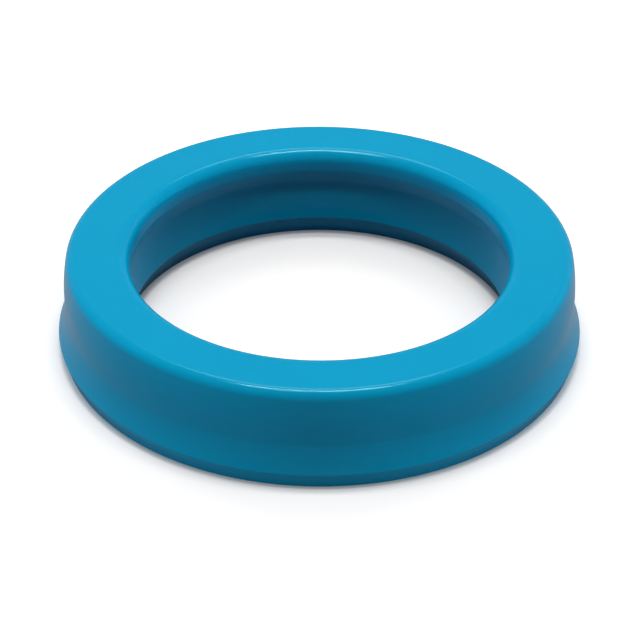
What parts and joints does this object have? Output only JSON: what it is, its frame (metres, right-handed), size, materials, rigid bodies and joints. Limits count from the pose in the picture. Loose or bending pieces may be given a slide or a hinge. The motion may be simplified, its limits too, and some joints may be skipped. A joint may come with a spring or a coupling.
{
  "type": "u cup seal",
  "caption": "Blue moulded ring with a U-shaped groove between flared lips, sealing a sliding rod in its housing.",
  "frame": {"origin": "centre of the ring, in the plane of the lips' ends", "axes": "+Z along the ring's axis, from the lips to the heel; +X and +Y are radii"},
  "size_m": [0.062, 0.062, 0.012],
  "materials": {
    "polyurethane": "satin"
  },
  "bodies": {
    "root": {"u_cup_seal": "polyurethane"}
  },
  "joints": []
}
